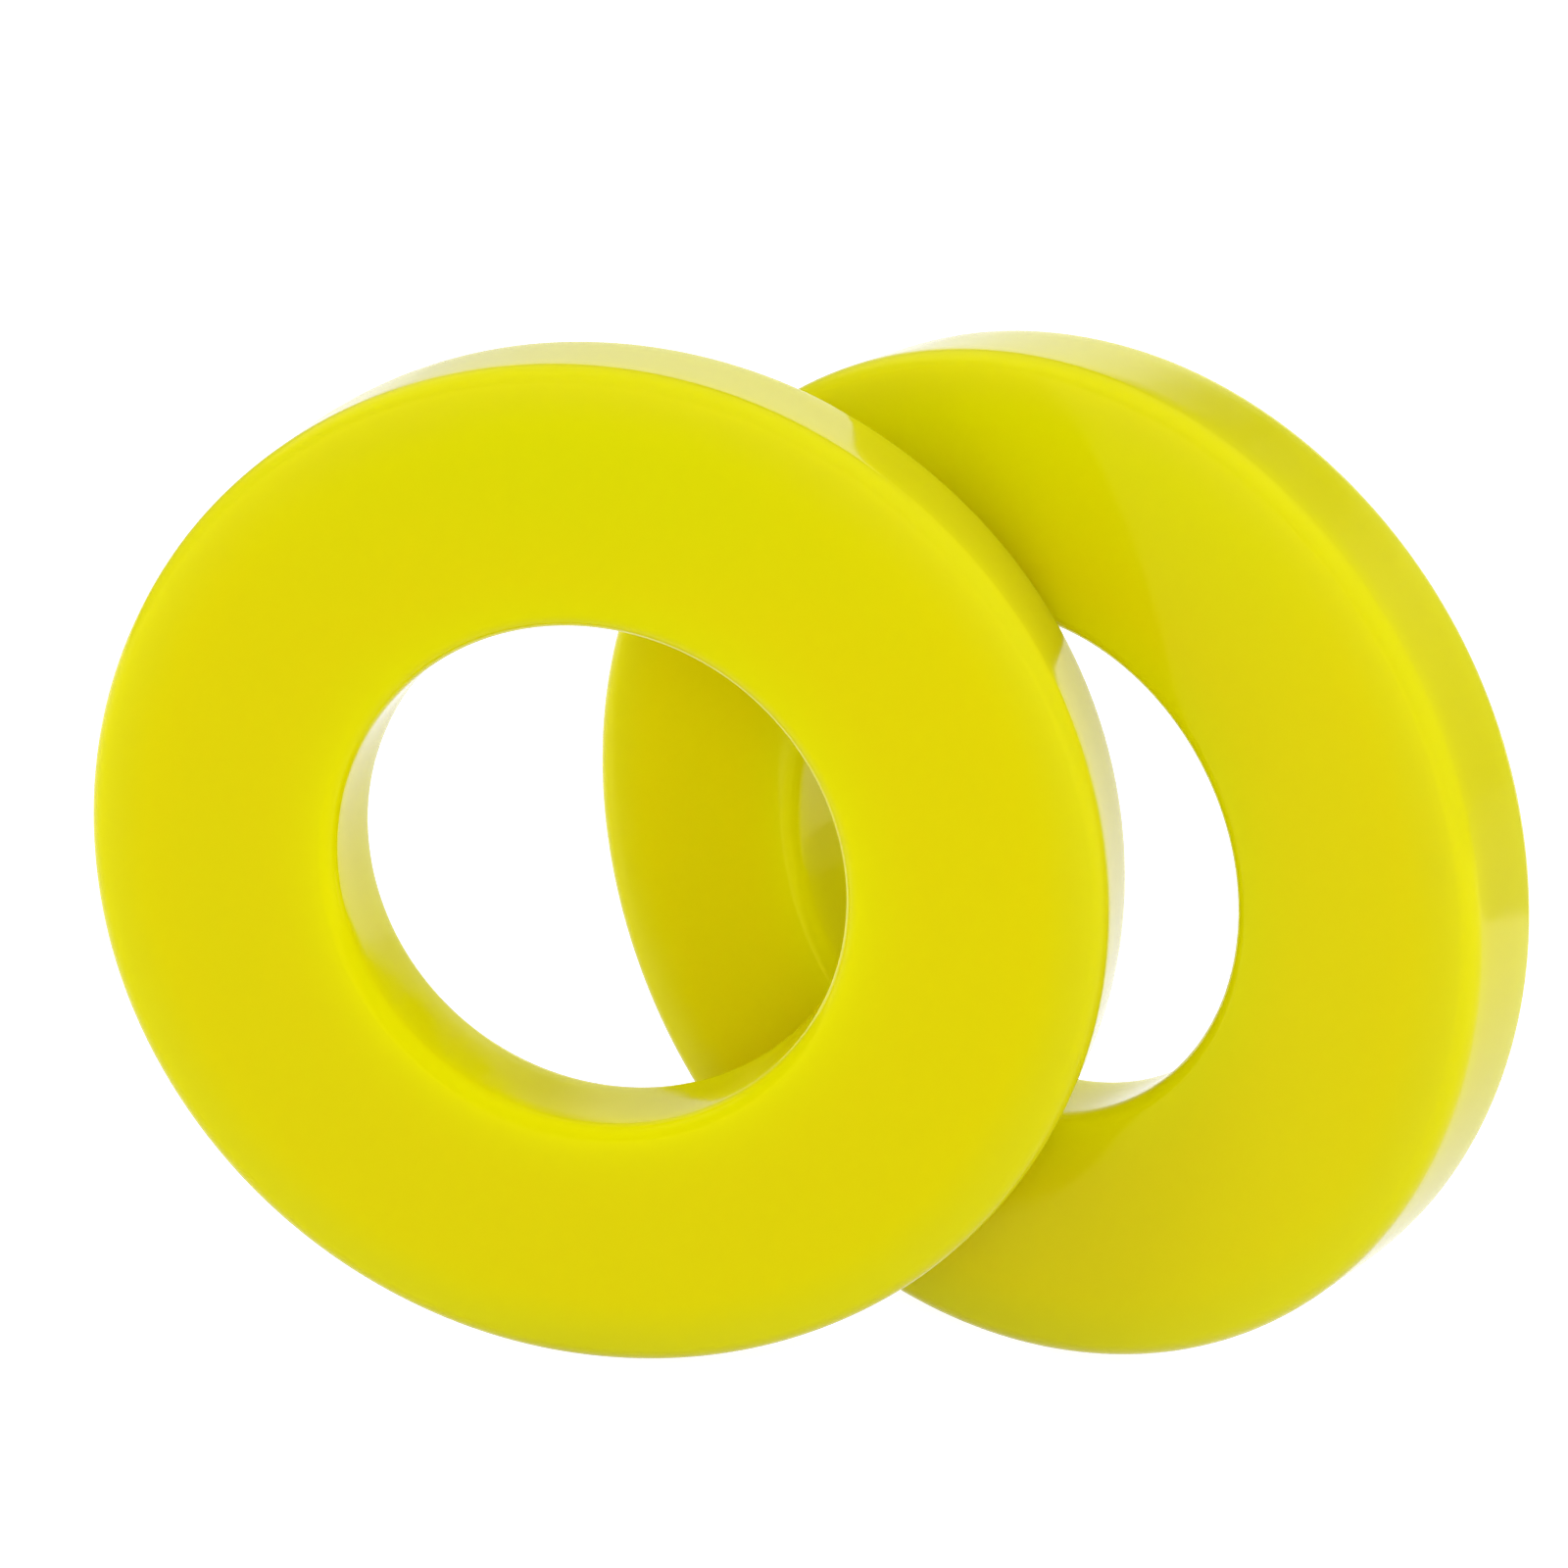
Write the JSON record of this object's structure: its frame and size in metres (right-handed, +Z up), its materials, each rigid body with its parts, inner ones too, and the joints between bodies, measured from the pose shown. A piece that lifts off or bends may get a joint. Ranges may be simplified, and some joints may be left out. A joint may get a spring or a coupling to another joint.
{
  "type": "juggling ring",
  "caption": "Thick soft glossy yellow juggling rings standing on edge, a front ring and a turned rear ring, each with a wide flat band and a large open bore.",
  "frame": {"origin": "on the surface the rings stand on, under the middle of the pair's bounding box", "axes": "+Z up; +X to the right as seen from the front, along the pair's longest side; +Y to the back, along its shortest side; the front ring's axis lies along Y, and the rear ring's axis is turned 22.9 degrees from it about Z"},
  "size_m": [0.207, 0.0734, 0.15],
  "materials": {
    "front_ring": "gloss",
    "rear_ring": "gloss"
  },
  "bodies": {
    "front_ring": {"front_ring": "front_ring"},
    "rear_ring": {"rear_ring": "rear_ring"}
  },
  "joints": [
    {"name": "rear_ring_pull_away", "type": "slide", "parent": "front_ring", "child": "rear_ring", "axis": [0.3891, 0.9212, 0], "range_m": [0, 0.12]}
  ]
}
